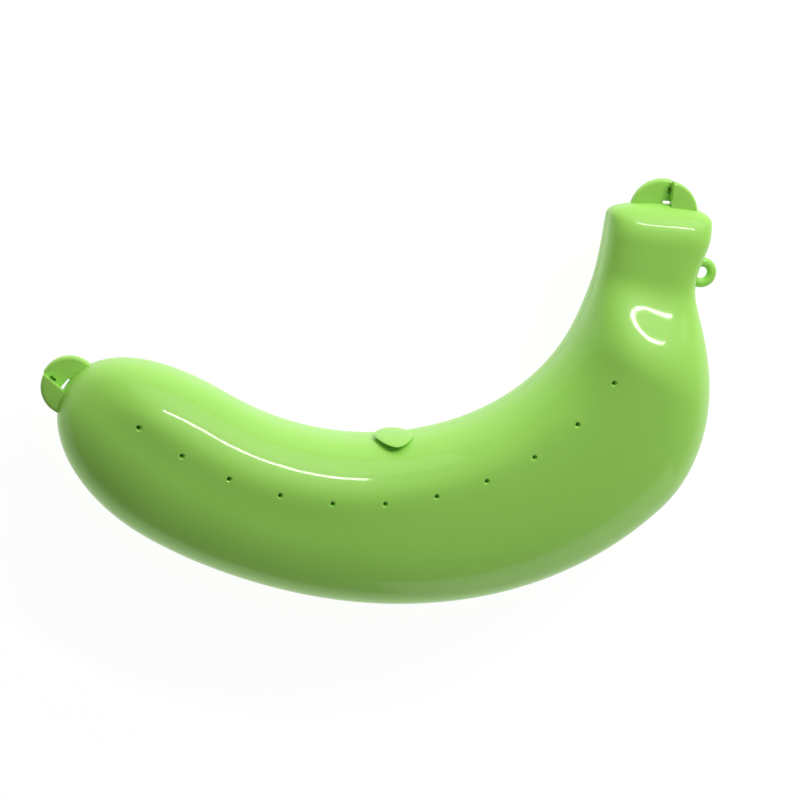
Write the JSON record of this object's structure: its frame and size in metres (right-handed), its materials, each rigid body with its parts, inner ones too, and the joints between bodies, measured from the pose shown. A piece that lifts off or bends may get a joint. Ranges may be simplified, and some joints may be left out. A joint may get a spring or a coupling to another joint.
{
  "type": "banana carrying case",
  "caption": "Curved hinged clamshell case that holds one banana, with round snap ears at tip and stem, a latch tongue and a carrying loop.",
  "frame": {"origin": "under the middle of the closed case, on the surface that its rear half lies on", "axes": "+X from the tip end to the stem side, +Y to the stem, the inner curve faces +Y, +Z from the rear half to the front half"},
  "size_m": [0.2145, 0.136, 0.045],
  "materials": {
    "shell": "glossy light green moulding",
    "fittings": "glossy light green moulding",
    "pin": "drawn wire"
  },
  "bodies": {
    "rear_half": {"rear_shell": "shell", "rear_tip_ear": "fittings", "rear_stem_ear": "fittings", "latch_tongue": "fittings", "carry_loop": "fittings", "rear_hinge_knuckles": "fittings", "hinge_pin": "pin"},
    "front_half": {"front_shell": "shell", "front_tip_ear": "fittings", "front_stem_ear": "fittings", "tip_catch_peg": "fittings", "stem_catch_peg": "fittings", "front_hinge_knuckles": "fittings"}
  },
  "joints": [
    {"name": "lid_hinge", "type": "hinge", "parent": "rear_half", "child": "front_half", "pos_m": [0.01069, -0.06686, 0.0225], "axis": [1, 0, 0], "range_deg": [0, 175]}
  ]
}
